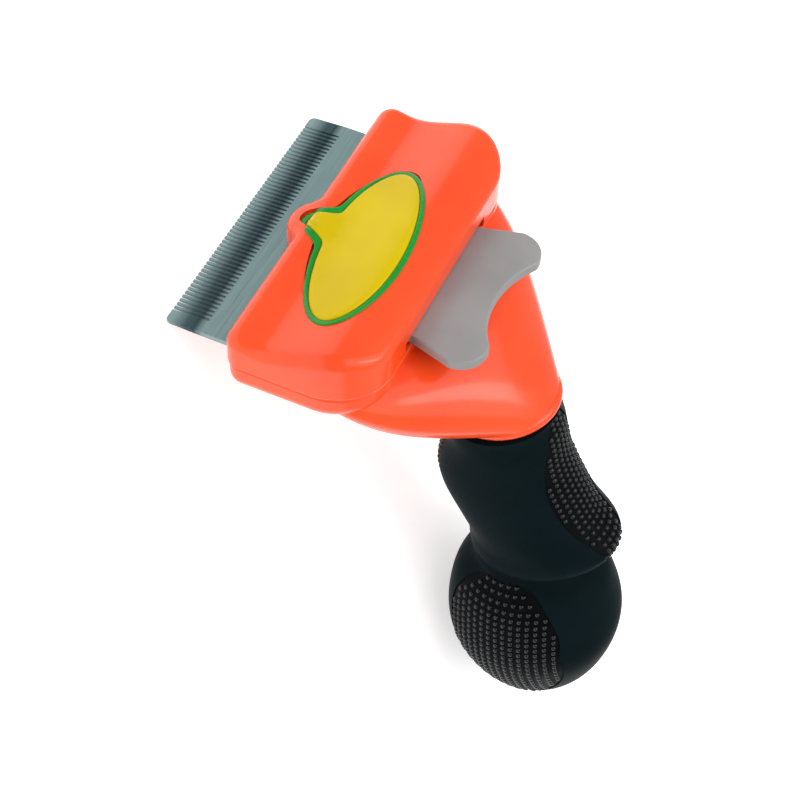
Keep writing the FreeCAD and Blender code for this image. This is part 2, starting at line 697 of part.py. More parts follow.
def make_housing():
    rim = primitive("Part::Torus", "collar_rim", down_handle(0), -Z.lean,
                    Radius1=Z.collar_radius - Z.rim_round, Radius2=Z.rim_round)
    disc = primitive("Part::Cylinder", "collar_disc", down_handle(Z.rim_round), -Z.lean,
                     Radius=Z.collar_radius - Z.rim_round, Height=Z.rim_round * 2)
    stem = primitive("Part::Cylinder", "stem", down_handle(Z.stem_length), -Z.lean,
                     Radius=Z.stem_radius, Height=Z.stem_length)
    outside = fused("housing_outside", [tray_form(), neck_loft("neck", Size.of(0.0)), rim, disc, stem])
    inside = fused("housing_inside", [tray_room(), neck_loft("neck_room", Z.wall)])
    shell = cut("housing_shell", outside, inside)

    body = new_body("housing_ribs")
    posts = new_sketch(body, "post_plan", offset=parting - Z.seat_gap)
    draw_circles(posts, post_spots, Z.post_radius)
    grow(body, posts, Z.tray_depth - Z.skin / 2, "posts", down=True)
    rooted = tray_low + Z.skin / 2
    stops = new_sketch(body, "spring_stop_plan", offset=rooted)
    for side in (-1, 1):
        middle = Z.spring_offset * side
        draw_box(stops, middle - spring_reach, middle + spring_reach, spring_front, spring_front + Z.rib)
    grow(body, stops, parting - Z.clearance - rooted, "spring_stops")
    rails = new_sketch(body, "rail_plan", offset=rooted)
    for side in (-1, 1):
        middle = Z.rail_offset * side
        draw_box(rails, middle - Z.rib / 2, middle + Z.rib / 2,
                 -Z.shell_back + Z.back_corner + Z.overrun, Z.shell_front - Z.wall)
    grow(body, rails, wiper_low - Z.clearance - rooted, "rails")
    ribbed = fused("housing_ribbed", [shell, body])

    drills = [primitive("Part::Cylinder", "stem_hole", down_handle(Z.stem_length + Z.overrun), -Z.lean,
                        Radius=Z.stem_bore, Height=Z.stem_length + Z.stem_bore * 2)]
    for x, y in post_spots:
        spot = (x, y, tray_low - Z.overrun)
        drills.append(primitive("Part::Cylinder", "screw_way", spot, Radius=Z.screw_radius + Z.clearance,
                                Height=Z.tray_depth + Z.overrun * 2))
        drills.append(primitive("Part::Cylinder", "screw_sink", spot, Radius=Z.screw_head + Z.clearance,
                                Height=Z.overrun + Z.screw_sunk + Z.screw_head_height))
    across = down_handle(Z.pin_drop)
    drills.append(primitive("Part::Cylinder", "pin_way", (-Z.stem_radius * 2, across[1], across[2]), 90.0,
                            Vector(0, 1, 0), Radius=Z.pin_radius + Z.seat_gap, Height=Z.stem_radius * 4))
    HEAD.append(cut("lower_housing", ribbed, fused("housing_drills", drills)))


# ---------------------------------------------------------------- ejector

def make_slide():
    body = new_body("ejector_slide")
    plan = new_sketch(body, "wiper_plan", offset=wiper_top)
    half = teeth_half
    front = Z.shell_front - Z.tray_inset - Z.clearance
    shoulder = -Z.shell_back + Z.back_corner + Z.shoulder_ahead
    draw_outline(plan, [
        (-half, front), (-half, shoulder), (-tail_half, shoulder), (-tail_half, upstand_back),
        (tail_half, upstand_back), (tail_half, shoulder), (half, shoulder), (half, front)])
    grow(body, plan, Z.slide_thick, "wiper_plate", down=True)
    upstand = new_sketch(body, "upstand_plan", offset=wiper_top)
    draw_box(upstand, -tail_half, tail_half, upstand_back, upstand_back + Z.upstand_depth)
    grow(body, upstand, button_low - wiper_top, "upstand")
    seat = new_sketch(body, "spring_seat_plan", offset=wiper_low)
    reach = Z.spring_offset + spring_reach + Z.clearance
    draw_box(seat, -reach, reach, spring_rear - Z.rib, spring_rear)
    grow(body, seat, wiper_low - tray_floor - Z.clearance, "spring_seat", down=True)

    windows = new_sketch(body, "wiper_windows", offset=wiper_top)
    for side in (-1, 1):
        middle = Z.post_offset * side
        far, near = -Z.post_back - Z.travel, -Z.post_back
        corners = [(middle - slot_room, far), (middle + slot_room, far),
                   (middle + slot_room, near), (middle - slot_room, near)]
        end_bow = slot_room - Z.seat_gap
        draw_outline(windows, corners, bowed(corners, {0: end_bow, 2: end_bow}))
        middle = Z.spring_offset * side
        room = spring_reach + Z.clearance
        draw_box(windows, middle - room, middle + room, spring_rear, spring_front + Z.rib + Z.clearance)
    carve(body, windows, "wiper_window_cut", Z.slide_thick)
    guides = new_sketch(body, "guide_plan", "XZ_Plane", -spring_rear)
    for side in (-1, 1):
        draw_circle(guides, Z.spring_offset * side, -Z.spring_depth, Z.guide_radius)
    grow(body, guides, Z.spring_length - Z.travel - Z.overrun, "spring_guides", down=True)
    cleats = new_sketch(body, "cleat_holes", offset=wiper_low)
    draw_circles(cleats, cleat_spots, Z.cleat_radius + Z.seat_gap)
    carve(body, cleats, "cleat_hole_cut", up=True)
    HEAD.append(body)


def make_button():
    body = new_body("ejector_button")
    plan = new_sketch(body, "button_plan", offset=button_low)
    back = -Z.shell_back
    front = upstand_back + Z.upstand_depth
    points = [
        (-Z.button_width / 2, front), (-Z.button_width / 2, back),
        (-Z.button_flare / 2, back - Z.button_widest), (-Z.lobe_offset, back - Z.button_reach),
        (Z.lobe_offset, back - Z.button_reach), (Z.button_flare / 2, back - Z.button_widest),
        (Z.button_width / 2, back), (Z.button_width / 2, front)]
    arcs = bowed(points, {2: Z.lobe_bow, 4: Z.lobe_bow})
    arcs[3] = (bow(points[3], points[4], Z.button_reach - Z.button_waist), -1)
    draw_outline(plan, points, arcs)
    grow(body, plan, Z.button_thick, "button_plate")
    lobe_line = (back - Z.button_reach).value
    soften(body, "lobe_fairing", Z.lobe_fair, lambda edge: (
        upright(edge) and abs(edge.Vertexes[0].Y - lobe_line) < 0.01))
    upper, doorway = (Z.button_lift - Z.seat_gap).value, (back + Z.clearance).value
    soften(body, "button_edges", Z.button_edge, lambda edge: (
        edge.BoundBox.ZMin > upper and edge.BoundBox.YMax < doorway))
    cleats = new_sketch(body, "button_cleats", offset=button_low)
    draw_circles(cleats, cleat_spots, Z.cleat_radius + Z.seat_gap)
    carve(body, cleats, "button_cleat_cut", Z.button_thick - Z.button_edge, up=True)
    HEAD.append(body)


def spring(name):
    """A square-wire coil lying along the way the slide moves."""
    coil = doc.addObject("Part::Helix", name + "_coil")
    bind(coil, "Radius", Z.spring_radius)
    bind(coil, "Pitch", (Z.spring_length - Z.spring_wire * 2) / Z.spring_turns)
    bind(coil, "Height", Z.spring_length - Z.spring_wire * 2)
    coil.SegmentLength = 0.0
    wire = doc.addObject("Part::RegularPolygon", name + "_wire")
    wire.Polygon = 4
    bind(wire, "Circumradius", Z.spring_wire / 2)
    wire.Placement = Placement(Vector(0, 0, 0), Rotation(Vector(1, 0, 0), 90))
    bind(wire, "Placement.Base.x", Z.spring_radius)
    sweep = doc.addObject("Part::Sweep", name)
    sweep.Sections = [wire]
    sweep.Spine = (coil, ["Edge1"])
    sweep.Solid = True
    sweep.Frenet = True
    doc.recompute()
    return sweep


SPRING_PLACES = {}


def make_springs():
    for side, name in ((-1, "return_spring_left"), (1, "return_spring_right")):
        HEAD.append(spring(name))
        SPRING_PLACES[name] = Placement(
            Vector((Z.spring_offset * side).value, (spring_rear + Z.spring_wire).value, -Z.spring_depth.value),
            Rotation(Vector(1, 0, 0), -90))


# ---------------------------------------------------------------- fasteners

def screw_group(name, spots, shank, length, head, head_height, seat):
    """Identical screws with their heads down; seat is the height of the head's bearing face."""
    body = new_body(name)
    heads = new_sketch(body, name + "_heads", offset=seat)
    draw_circles(heads, spots, head)
    shanks = new_sketch(body, name + "_shanks", offset=seat)
    draw_circles(shanks, spots, shank)
    grow(body, heads, head_height, name + "_head_pad", down=True)
    body.AllowCompound = True
    grow(body, shanks, length, name + "_shank_pad")
    HEAD.append(body)


def make_screws():
    screw_group("housing_screws", post_spots, Z.screw_radius, Z.screw_length, Z.screw_head,
                Z.screw_head_height, tray_low + Z.screw_head_height + Z.screw_sunk)
    depth = button_low - wiper_low + Z.button_thick - Z.button_edge - Z.clearance
    screw_group("button_screws", cleat_spots, Z.cleat_radius, depth, Z.cleat_head,
                Z.cleat_head_height, wiper_low)


# ---------------------------------------------------------------- handle

def ease(share):
    """A share of the way that starts and ends gently."""
    return (1 - math.cos(math.pi * share)) / 2


def egg(share):
    """Radius of the bulb, as a share of its largest, at a share of its half length."""
    if share < 0:
        return Size.of(math.sqrt(1 - share ** 2))
    return (1 - Size.of(share).power(Z.bulb_taper)).root()


def handle_rings(inset):
    """Ellipses down the handle: depth below the collar, reach to front, reach to back, half width."""
    rows = []
    for share in (0.0, 0.35, 0.7, 1.0):
        drop = Z.hook_drop * share if share else Z.rim_round + Z.clearance
        swell = ease(max(share - 0.35, 0.0) / 0.65)
        front = Z.neck_grip + (Z.hook_reach - Z.neck_grip) * swell
        half = Z.neck_grip + Z.neck_swell + (Z.grip_side - Z.neck_grip - Z.neck_swell) * ease(share)
        rows.append((drop, front, half))
    for share in (0.4, 0.75, 1.0):
        drop = Z.hook_drop + (Z.thumb_drop - Z.hook_drop) * share
        rows.append((drop, Z.hook_reach + (Z.waist_reach - Z.hook_reach) * ease(share), Z.grip_side))
    rings = []
    for drop, front, half in rows:
        swell = (drop / Z.thumb_drop).power(Z.thumb_power)
        rings.append((drop, front, Z.neck_grip + (Z.thumb_reach - Z.neck_grip) * swell, half))
    rings.append((Z.thumb_drop + Z.thumb_edge, Z.waist_reach, Z.thumb_reach - Z.thumb_fall, Z.grip_side))
    for share in (-0.8, -0.62, -0.35, 0.0, 0.38, 0.68, 0.86, 0.95):
        half = Z.bulb_upper if share < 0 else Z.bulb_lower
        radius = Z.bulb_radius * egg(share)
        rings.append((Z.bulb_drop + half * share, radius - Z.bulb_set, radius + Z.bulb_set, radius))
    last = rings.pop()
    rings.append((last[0] - inset,) + last[1:])
    return [(drop, front - inset, back - inset, half - inset) for drop, front, back, half in rings]


def handle_loft(name, inset):
    rings = []
    for drop, front, back, half in handle_rings(Size.of(inset)):
        ring = doc.addObject("Part::Ellipse", name + "_ring")
        depth = (front + back) / 2
        ring.MajorRadius = Z.far.value
        bind(ring, "MajorRadius", Size(max(depth.value, half.value), "max(%s; %s)" % (depth.text, half.text)))
        bind(ring, "MinorRadius", Size(min(depth.value, half.value), "min(%s; %s)" % (depth.text, half.text)))
        ring.setExpression("Placement.Rotation.Angle", "%s > %s ? 90 deg : 0 deg" % (depth.text, half.text))
        bind(ring, "Placement.Base.y", (front - back) / 2)
        bind(ring, "Placement.Base.z", -drop)
        rings.append(ring)
    loft = doc.addObject("Part::Loft", name)
    loft.Sections = rings
    loft.Solid = True
    return loft


def pad_prism(name, role, points, rises, towards):
    """The block that a pad is trimmed to, from the handle's axis out to one side."""
    body = new_body(name)
    sketch = new_sketch(body, name + "_outline", role, Size.of(towards))
    draw_outline(sketch, points, bowed(points, rises))
    grow(body, sketch, Z.block_height * 2, name + "_block", down=(towards < 0) != (role == "XZ_Plane"))
    return body


def long_pad(half, widest, drop, gap):
    """A pad with two bowed sides that meet rounded ends; gap makes it larger all round."""
    end = Z.pad_end + gap
    points = [(-end, -Z.pad_start + gap), (-half - gap, -widest), (-end, -drop - gap),
              (end, -drop - gap), (half + gap, -widest), (end, -Z.pad_start + gap)]
    rises = {0: Z.pad_bow, 1: Z.pad_bow, 2: Z.pad_cap, 3: Z.pad_bow, 4: Z.pad_bow, 5: Z.pad_cap}
    return points, rises


def thumb_outline(gap):
    return long_pad(Z.thumb_pad_half, Z.hook_drop + Z.pad_end, Z.thumb_drop + Z.pad_end, gap)


def finger_outline(gap):
    return long_pad(Z.finger_pad_half, Z.hook_drop * 0.75, Z.finger_pad_drop, gap)


def side_outline(gap):
    half, middle = Z.side_pad_half + gap, -Z.side_pad_drop
    up, down = Z.side_pad_up + gap, Z.side_pad_down + gap
    points = [(half, middle), (0, middle + up), (-half, middle), (0, middle - down)]
    return points, {0: up * 0.26, 1: up * 0.26, 2: down * 0.26, 3: down * 0.26}


PADS = [
    # name, plane it is drawn on, outline, side of the handle
    ("thumb_pad", "XZ_Plane", thumb_outline, -1),
    ("finger_pad", "XZ_Plane", finger_outline, 1),
    ("side_pad_left", "YZ_Plane", side_outline, -1),
    ("side_pad_right", "YZ_Plane", side_outline, 1),
]


def core_form(name):
    """The stiff core: straight through the grip, swelling inside the bulb."""
    body = new_body(name)
    profile = new_sketch(body, name + "_profile", "XZ_Plane")
    top = -Z.rim_round - Z.clearance
    straight = -(Z.hook_drop + Z.thumb_drop) / 2
    waist = -Z.bulb_drop + Z.bulb_upper * 0.8
    swell = -Z.bulb_drop + Z.bulb_upper * 0.3
    tail = -Z.bulb_drop - Z.bulb_lower + Z.grip_wall * 2
    draw_outline(profile, [
        (0, top), (0, tail), (Z.core_tail, tail), (Z.core_swell, -Z.bulb_drop), (Z.core_swell, swell),
        (Z.core_waist, waist), (Z.core_radius, straight), (Z.core_radius, top)])
    turned = body.newObject("PartDesign::Revolution", name + "_turned")
    turned.Profile = profile
    turned.ReferenceAxis = (profile, ["V_Axis"])
    turned.Angle = 360
    doc.recompute()
    return body


def make_handle():
    outside = handle_loft("grip_outside", 0.0)
    pad_top = handle_loft("pad_top", Z.pad_sink)
    pad_base = handle_loft("pad_base", Z.pad_sink + Z.pad_thick)
    socket = primitive("Part::Cylinder", "stem_socket", (0, 0, -Z.stem_length - Z.clearance),
                       Radius=Z.stem_radius + Z.seat_gap, Height=Z.stem_length + Z.block_height)
    pin_way = primitive("Part::Cylinder", "core_pin_way", (-Z.stem_radius * 2, 0, -Z.pin_drop), 90.0,
                        Vector(0, 1, 0), Radius=Z.pin_radius + Z.seat_gap, Height=Z.stem_radius * 4)
    HANDLE.append(cut("handle_core", core_form("core_solid"), fused("core_drills", [socket, pin_way])))
    HANDLE.append(make_pin())

    recesses = []
    for name, role, outline, towards in PADS:
        patch = common(name + "_patch", pad_top, pad_prism(name + "_trim", role, *outline(Size.of(0)), towards))
        HANDLE.append(cut(name, patch, pad_base))
        wider = pad_prism(name + "_recess", role, *outline(Z.seat_gap), towards)
        recesses.append(cut(name + "_space", wider, pad_base))
    sleeve = cut("grip_sleeve", outside, core_form("core_space"))
    HANDLE.append(cut("grip", sleeve, fused("pad_spaces", recesses)))


def make_pin():
    pin = doc.addObject("Part::Cylinder", "cross_pin")
    bind(pin, "Radius", Z.pin_radius)
    bind(pin, "Height", pin_half * 2)
    return pin


# ---------------------------------------------------------------- build

make_blade()
make_cover()
make_badge()
make_housing()
make_slide()
make_button()
make_springs()
make_screws()
make_handle()
doc.recompute()


# ---------------------------------------------------------------- laying the tool down

def rest_turn():
    """How far the head's frame turns about X so that teeth and bulb meet the table."""
    lean = math.radians(Z.lean.value)
    along = Vector(0, -math.sin(lean), -math.cos(lean))
    front = Vector(0, math.cos(lean), -math.sin(lean))
    collar = Vector(0, -Z.collar_y.value, -Z.collar_z.value)
    bulb = collar + along * Z.bulb_drop.value - front * Z.bulb_set.value
    tip = Vector(0, Z.blade_front.value, -(Z.tooth_drop + Z.tooth_tip).value)
    shares = [step / 100 for step in range(100)]

    def bulb_over_tip(angle):
        down = Vector(0, math.sin(angle), -math.cos(angle))
        reach = max(Z.bulb_radius.value * egg(share).value * front.dot(down)
                    + Z.bulb_lower.value * share * along.dot(down) for share in shares)
        return tip.dot(down) - (bulb.dot(down) + reach)

    low, high = math.radians(30), math.radians(85)
    for _ in range(60):
        angle = (low + high) / 2
        if bulb_over_tip(angle) < 0:
            low = angle
        else:
            high = angle
    return math.degrees((low + high) / 2)


turn = Placement(Vector(0, 0, 0), Rotation(Vector(1, 0, 0), -rest_turn()))
to_collar = Placement(Vector(0, -Z.collar_y.value, -Z.collar_z.value), Rotation(Vector(1, 0, 0), -Z.lean.value))
own_place = {}
for item in HEAD:
    own_place[item.Label] = SPRING_PLACES.get(item.Label, Placement())
for item in HANDLE:
    own_place[item.Label] = to_collar
pin_spin = Placement(Vector(-pin_half.value, 0, -Z.pin_drop.value),
                     Rotation(Vector(0, 1, 0), 90))
own_place["cross_pin"] = to_collar * pin_spin

pieces = HEAD + HANDLE
for item in pieces:
    item.Placement = turn * own_place[item.Label]
doc.recompute()

box = FreeCAD.BoundBox()
for item in pieces:
    box.add(item.Shape.optimalBoundingBox(False, False))
settle = Placement(Vector(-(box.XMin + box.XMax) / 2, -(box.YMin + box.YMax) / 2, -box.ZMin), Rotation())
for item in pieces:
    item.Placement = settle * turn * own_place[item.Label]
doc.recompute()

for item in doc.Objects:
    if "Invalid" in item.State or "Error" in item.State:
        raise RuntimeError("%s did not build: %s" % (item.Label, item.State))
for item in pieces:
    if item.Shape.isNull() or not item.Shape.isValid() or not item.Shape.Solids:
        raise RuntimeError(item.Label + " has no valid solid")
for item in pieces:
    item.Shape.exportStep("parts/%s.step" % item.Label)
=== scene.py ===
import json
import math

import bmesh
import bpy
from mathutils import Matrix, Vector
from mathutils.bvhtree import BVHTree


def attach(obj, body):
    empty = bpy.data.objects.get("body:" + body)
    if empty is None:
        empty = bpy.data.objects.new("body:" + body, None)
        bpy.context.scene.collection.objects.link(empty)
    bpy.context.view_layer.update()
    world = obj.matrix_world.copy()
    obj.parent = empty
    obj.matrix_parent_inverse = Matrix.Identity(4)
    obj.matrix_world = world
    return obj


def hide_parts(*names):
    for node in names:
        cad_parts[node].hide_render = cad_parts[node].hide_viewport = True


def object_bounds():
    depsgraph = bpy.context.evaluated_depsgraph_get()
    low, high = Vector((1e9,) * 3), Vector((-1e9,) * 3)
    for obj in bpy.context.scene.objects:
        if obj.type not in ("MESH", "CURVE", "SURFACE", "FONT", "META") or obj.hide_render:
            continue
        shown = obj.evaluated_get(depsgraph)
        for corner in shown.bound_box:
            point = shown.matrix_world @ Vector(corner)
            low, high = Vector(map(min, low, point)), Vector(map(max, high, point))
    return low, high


# Looks of the deshedding tool: materials for every CAD node, the badge's rim and face, the rubber
# nubs on the four pads, dark crosses of painted shade on the screw heads, and a pale floor with soft
# light.

MM = 0.001

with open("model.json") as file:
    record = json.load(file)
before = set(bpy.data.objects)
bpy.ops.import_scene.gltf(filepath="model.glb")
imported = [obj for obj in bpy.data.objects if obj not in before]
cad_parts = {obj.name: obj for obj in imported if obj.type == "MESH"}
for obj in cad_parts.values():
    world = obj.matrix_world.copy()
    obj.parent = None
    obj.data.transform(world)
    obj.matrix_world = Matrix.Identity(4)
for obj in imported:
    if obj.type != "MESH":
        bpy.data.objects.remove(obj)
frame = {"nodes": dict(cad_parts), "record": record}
cad_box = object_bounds()
nodes = frame["nodes"]
record = frame["record"]

# ---------------------------------------------------------------- frames of the object

COMB_REACH = 20.4 * MM      # tooth tips ahead of the head's datum
GRIP_MOUNT_DROP = 28.0 * MM  # the hand_grip mount below the collar, along the handle

ACROSS = Vector((1, 0, 0))
FORWARD = Vector(record["behaviour"]["joints"][0]["axis"]).normalized()
OUTWARD = ACROSS.cross(FORWARD).normalized()


def farthest(node, way):
    """The largest distance of a node's points along a direction."""
    return max(vertex.co.dot(way) for vertex in nodes[node].data.vertices)


HEAD_DATUM = FORWARD * (farthest("blade", FORWARD) - COMB_REACH) + OUTWARD * farthest("blade", OUTWARD)

GRIP_MOUNT = [mount for mount in record["mounts"] if mount["name"] == "hand_grip"][0]
HANDLE_UP = Vector(GRIP_MOUNT["axis"]).normalized()
TO_FINGERS = HANDLE_UP.cross(ACROSS).normalized()
COLLAR = Vector(GRIP_MOUNT["pos_m"]) + HANDLE_UP * GRIP_MOUNT_DROP


def on_head(x, y, z):
    """A point of the head's frame, given in millimetres."""
    return HEAD_DATUM + (ACROSS * x + FORWARD * y + OUTWARD * z) * MM


def head_way(x, y, z):
    return ACROSS * x + FORWARD * y + OUTWARD * z


# ---------------------------------------------------------------- node graphs

class Graph:
    """Short ways to build a material's nodes."""

    def __init__(self, name):
        self.material = bpy.data.materials.new(name)
        self.material.use_nodes = True
        self.tree = self.material.node_tree
        self.shader = self.tree.nodes["Principled BSDF"]
        self.place = self.add("ShaderNodeTexCoord").outputs["Object"]

    def add(self, kind, **values):
        node = self.tree.nodes.new(kind)
        for key, value in values.items():
            setattr(node, key, value)
        return node

    def link(self, output, socket):
        self.tree.links.new(output, socket)

    def noise(self, scale, detail=3.0, rough=0.55, vector=None):
        node = self.add("ShaderNodeTexNoise")
        node.inputs["Scale"].default_value = scale
        node.inputs["Detail"].default_value = detail
        node.inputs["Roughness"].default_value = rough
        self.link(vector or self.place, node.inputs["Vector"])
        return node.outputs["Fac"]

    def cells(self, scale):
        node = self.add("ShaderNodeTexVoronoi")
        node.inputs["Scale"].default_value = scale
        self.link(self.place, node.inputs["Vector"])
        return node.outputs["Distance"]

    def along(self, way, origin):
        """Distance in metres along a direction, from a point."""
        product = self.add("ShaderNodeVectorMath", operation="DOT_PRODUCT")
        self.link(self.place, product.inputs[0])
        product.inputs[1].default_value = way
        shift = self.add("ShaderNodeMath", operation="SUBTRACT")
        self.link(product.outputs["Value"], shift.inputs[0])
        shift.inputs[1].default_value = origin.dot(way)
        return shift.outputs[0]

    def stretch(self, way, amount):
        """Coordinates drawn out along a direction, for brushed grain."""
        product = self.add("ShaderNodeVectorMath", operation="DOT_PRODUCT")
        self.link(self.place, product.inputs[0])
        product.inputs[1].default_value = way
        scaled = self.add("ShaderNodeVectorMath", operation="SCALE")
        scaled.inputs[0].default_value = way
        self.link(product.outputs["Value"], scaled.inputs["Scale"])
        drawn = self.add("ShaderNodeVectorMath", operation="MULTIPLY_ADD")
        self.link(scaled.outputs["Vector"], drawn.inputs[0])
        drawn.inputs[1].default_value = (amount - 1,) * 3
        self.link(self.place, drawn.inputs[2])
        return drawn.outputs["Vector"]

    def ramp(self, value, stops, into=None):
        """Colours along a value; stops are (position, colour)."""
        node = self.add("ShaderNodeValToRGB")
        elements = node.color_ramp.elements
        while len(elements) < len(stops):
            elements.new(0.5)
        for element, (position, colour) in zip(elements, stops):
            element.position = position
            element.color = colour + (1,)
        self.link(value, node.inputs["Fac"])
        if into:
            self.link(node.outputs["Color"], self.shader.inputs[into])
        return node.outputs["Color"]

    def spread(self, value, low, high, into=None, first=0.0, last=1.0):
        """A value moved from first..last to low..high."""
        node = self.add("ShaderNodeMapRange")
        self.link(value, node.inputs["Value"])
        node.inputs["From Min"].default_value = first
        node.inputs["From Max"].default_value = last
        node.inputs["To Min"].default_value = low
        node.inputs["To Max"].default_value = high
        if into:
            self.link(node.outputs[0], self.shader.inputs[into])
        return node.outputs[0]

    def mixed(self, share, first, second):
        node = self.add("ShaderNodeMix", data_type="RGBA")
        self.link(share, node.inputs["Factor"])
        self.link(first, node.inputs["A"])
        self.link(second, node.inputs["B"])
        return node.outputs["Result"]

    def sum(self, first, second, weight=1.0):
        node = self.add("ShaderNodeMath", operation="MULTIPLY_ADD")
        self.link(second, node.inputs[0])
        node.inputs[1].default_value = weight
        self.link(first, node.inputs[2])
        return node.outputs[0]

    def bump(self, height, strength, depth):
        node = self.add("ShaderNodeBump")
        node.inputs["Strength"].default_value = strength
        node.inputs["Distance"].default_value = depth
        self.link(height, node.inputs["Height"])
        self.link(node.outputs["Normal"], self.shader.inputs["Normal"])

    def set(self, **values):
        for key, value in values.items():
            self.shader.inputs[key.replace("_", " ")].default_value = value


def linear(red, green, blue):
    """A screen colour, 0 to 255, as the linear values a shader wants."""
    def one(value):
        value /= 255
        return value / 12.92 if value <= 0.04045 else ((value + 0.055) / 1.055) ** 2.4
    return (one(red), one(green), one(blue))


# ---------------------------------------------------------------- materials

def gloss_plastic(name, dark, light, rough, coat, shine):
    """Shiny moulded plastic: slow colour drift, faint flow ripple and fine handling haze.

    rough is its mean roughness, coat its clear coat and shine its specular level.
    """
    graph = Graph(name)
    drift = graph.noise(45.0, 2.0)
    graph.ramp(drift, [(0.3, dark), (0.7, light)], "Base Color")
    haze = graph.noise(900.0, 4.0)
    graph.spread(haze, rough * 0.75, rough * 1.35, "Roughness", 0.3, 0.7)
    ripple = graph.sum(graph.noise(70.0, 1.0), haze, 0.05)
    graph.bump(ripple, 0.12, 0.0003)
    graph.set(Coat_Weight=coat, Coat_Roughness=0.08, IOR=1.49, Specular_IOR_Level=shine)
    graph.shader.inputs["Subsurface Weight"].default_value = 0.06
    graph.shader.inputs["Subsurface Scale"].default_value = 0.002
    return graph.material


def satin_plastic(name, dark, light):
    """Spark-eroded satin moulding: fine even pits and a slight drift of tone."""
    graph = Graph(name)
    graph.ramp(graph.noise(60.0, 3.0), [(0.3, dark), (0.7, light)], "Base Color")
    pits = graph.noise(2600.0, 2.0)
    graph.spread(pits, 0.38, 0.52, "Roughness", 0.3, 0.7)
    graph.bump(pits, 0.22, 0.00008)
    graph.set(IOR=1.5)
    return graph.material


def comb_steel():
    """Ground stainless plate: grain across the comb, and painted shade: a dark band part of the way
    down the teeth for their bevel's dark reflection.
    """
    graph = Graph("comb_steel")
    grain = graph.noise(2400.0, 4.0, 0.6, graph.stretch(ACROSS, 0.03))
    plate = graph.ramp(grain, [(0.25, linear(116, 143, 144)), (0.75, linear(138, 164, 164))])
    shade = graph.ramp(grain, [(0.25, linear(34, 54, 60)), (0.75, linear(52, 76, 82))])
    # painted shade: the plate colour turns to the dark shade colour in a band part of the way down the
    # teeth, lighter again at the tips
    reach = graph.along(FORWARD, HEAD_DATUM)
    painted_reflection_band = graph.ramp(graph.spread(reach, 0.0, 1.0, None, 8.0 * MM, 21.0 * MM), [
        (0.30, (0, 0, 0)), (0.46, (1, 1, 1)), (0.62, (0.9, 0.9, 0.9)), (0.88, (0.05, 0.05, 0.05))])
    graph.link(graph.mixed(painted_reflection_band, plate, shade), graph.shader.inputs["Base Color"])
    graph.spread(grain, 0.26, 0.44, "Roughness", 0.3, 0.7)
    graph.bump(grain, 0.16, 0.00006)
    graph.set(Metallic=0.85, Anisotropic=0.45)
    return graph.material


def bright_steel(name, dark, light, rough):
    """Zinc or drawn-wire finish: cloudy tone and light scratches."""
    graph = Graph(name)
    cloud = graph.noise(500.0, 4.0)
    graph.ramp(cloud, [(0.3, dark), (0.7, light)], "Base Color")
    graph.spread(cloud, rough * 0.7, rough * 1.4, "Roughness", 0.3, 0.7)
    graph.bump(graph.noise(3200.0, 2.0, 0.5, graph.stretch(FORWARD, 0.1)), 0.15, 0.00005)
    graph.set(Metallic=1.0)
    return graph.material


def grip_rubber():
    """Soft-touch overmould: matt teal-black with a fine orange-peel and a few rubbed places."""
    graph = Graph("grip_rubber")
    wear = graph.noise(38.0, 4.0)
    graph.ramp(wear, [(0.3, linear(9, 20, 23)), (0.72, linear(15, 28, 31))], "Base Color")
    peel = graph.noise(1700.0, 3.0)
    graph.spread(wear, 0.36, 0.5, "Roughness", 0.3, 0.7)
    graph.bump(graph.sum(graph.cells(1500.0), peel, 0.6), 0.16, 0.00008)
    graph.set(IOR=1.08, Specular_IOR_Level=0.3)
    return graph.material


def pad_rubber(name, dark, light, rough, index):
    """Firmer rubber of the nubbed pads: near black, with a little dust and fine pits."""
    graph = Graph(name)
    dust = graph.noise(260.0, 4.0)
    graph.ramp(dust, [(0.3, dark), (0.75, light)], "Base Color")
    graph.spread(dust, rough * 0.8, rough * 1.3, "Roughness", 0.3, 0.7)
    graph.bump(graph.noise(1900.0, 2.0), 0.12, 0.00006)
    graph.set(IOR=index, Specular_IOR_Level=0.5)
    return graph.material


def make_materials():
    """One material for each of the record's slots."""
    return {
        "comb_steel": comb_steel(),
        "orange_plastic": gloss_plastic(
            "orange_plastic", linear(248, 72, 22), linear(255, 84, 32), 0.2, coat=0.2, shine=0.3),
        "green_plastic": gloss_plastic(
            "green_plastic", linear(0, 128, 24), linear(4, 164, 52), 0.25, coat=0.15, shine=0.25),
        "yellow_plastic": gloss_plastic(
            "yellow_plastic", linear(204, 175, 0), linear(219, 192, 3), 0.16, coat=0.06, shine=0.1),
        "grey_plastic": satin_plastic("grey_plastic", linear(140, 140, 140), linear(152, 152, 152)),
        "spring_steel": bright_steel("spring_steel", (0.42, 0.42, 0.44), (0.6, 0.6, 0.62), 0.25),
        "fastener_steel": bright_steel("fastener_steel", (0.45, 0.45, 0.47), (0.66, 0.66, 0.68), 0.3),
        "core_plastic": satin_plastic("core_plastic", linear(28, 28, 28), linear(40, 40, 40)),
        "grip_rubber": grip_rubber(),
        "pad_rubber": pad_rubber("pad_rubber", linear(3, 5, 7), linear(9, 12, 15), 0.5, 1.12),
        "nub_rubber": pad_rubber("nub_rubber", linear(4, 6, 8), linear(10, 13, 16), 0.2, 1.42),
    }


def paint(item, material):
    item.data.materials.clear()
    item.data.materials.append(material)


def paint_nodes(materials):
    for row in record["subparts"]:
        paint(nodes[row["node"]], materials[row["material_slot"]])


# ---------------------------------------------------------------- pieces

def add_piece(name, mesh, slot, body, materials):
    """Turn a bmesh into a smooth piece that rides on a body."""
    data = bpy.data.meshes.new(name)
    bmesh.ops.recalc_face_normals(mesh, faces=mesh.faces)
    mesh.to_mesh(data)
    mesh.free()
    data.shade_smooth()
    piece = bpy.data.objects.new(name, data)
    bpy.context.collection.objects.link(piece)
    paint(piece, materials[slot])
    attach(piece, body)
    return piece


